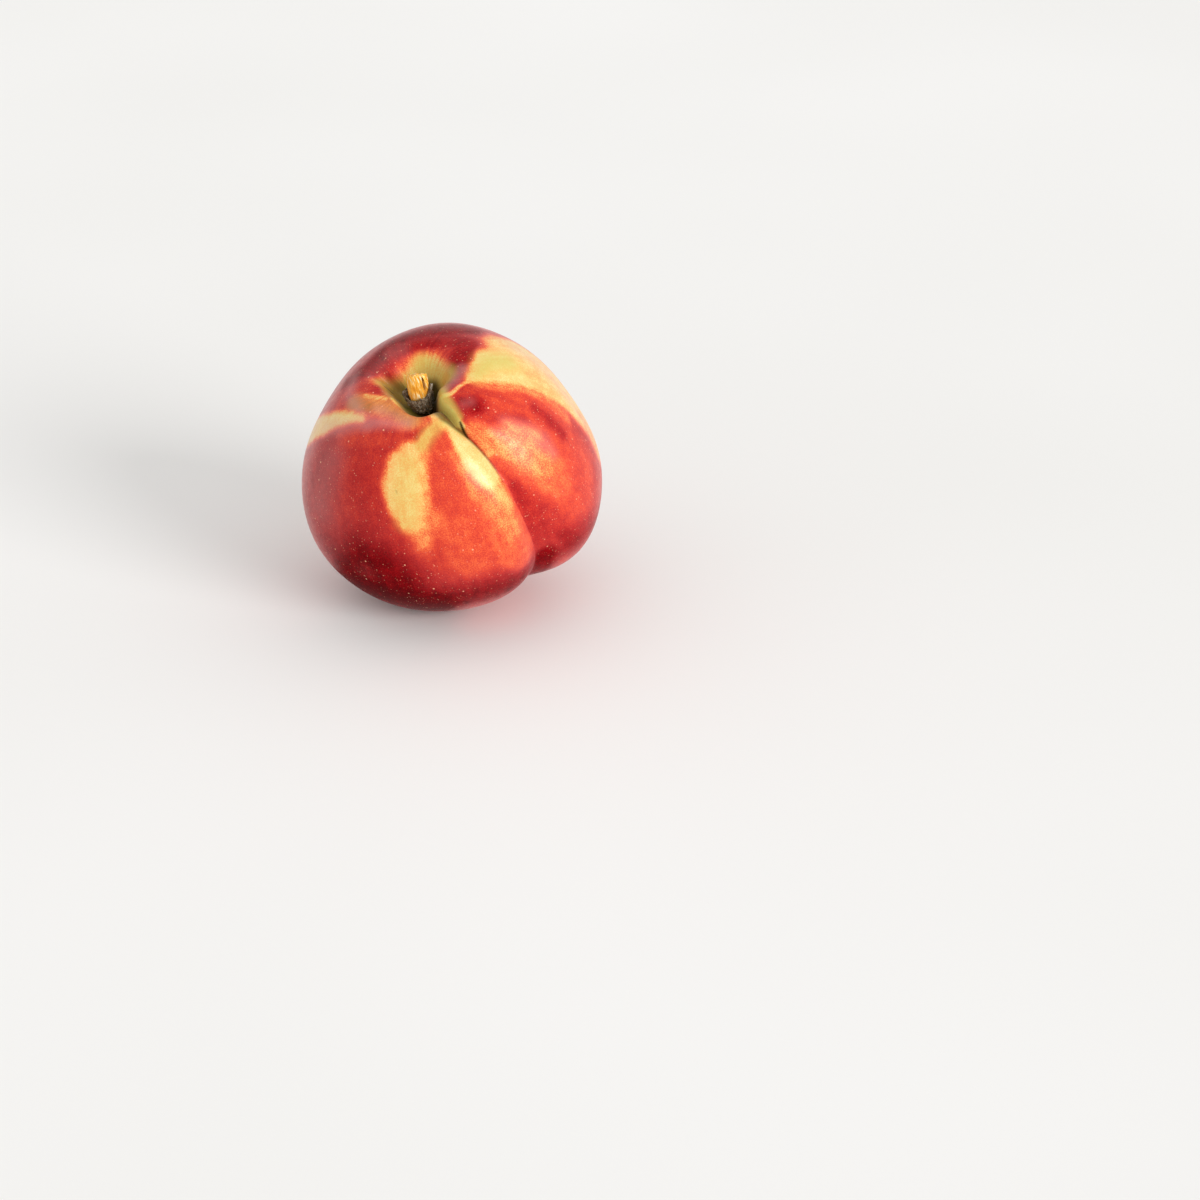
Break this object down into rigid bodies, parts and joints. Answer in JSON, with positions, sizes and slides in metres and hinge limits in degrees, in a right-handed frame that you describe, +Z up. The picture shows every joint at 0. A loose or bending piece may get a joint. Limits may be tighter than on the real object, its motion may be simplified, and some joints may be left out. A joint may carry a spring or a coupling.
{
  "type": "nectarine",
  "caption": "Ripe smooth-skinned nectarine with a deep suture and its broken woody stem, lying on a small flat spot.",
  "frame": {"origin": "centre of the small flat spot that the fruit lies on", "axes": "+Z up, away from the surface; the stem leans towards -Y and a little to -X, and the suture faces +X and -Y"},
  "size_m": [0.0697, 0.0654, 0.0655],
  "materials": {
    "skin": "satin",
    "bark": "matte",
    "stem_wood": "matte"
  },
  "bodies": {
    "root": {"fruit": "skin", "stem_bark": "bark", "stem_wood": "stem_wood"}
  },
  "joints": []
}
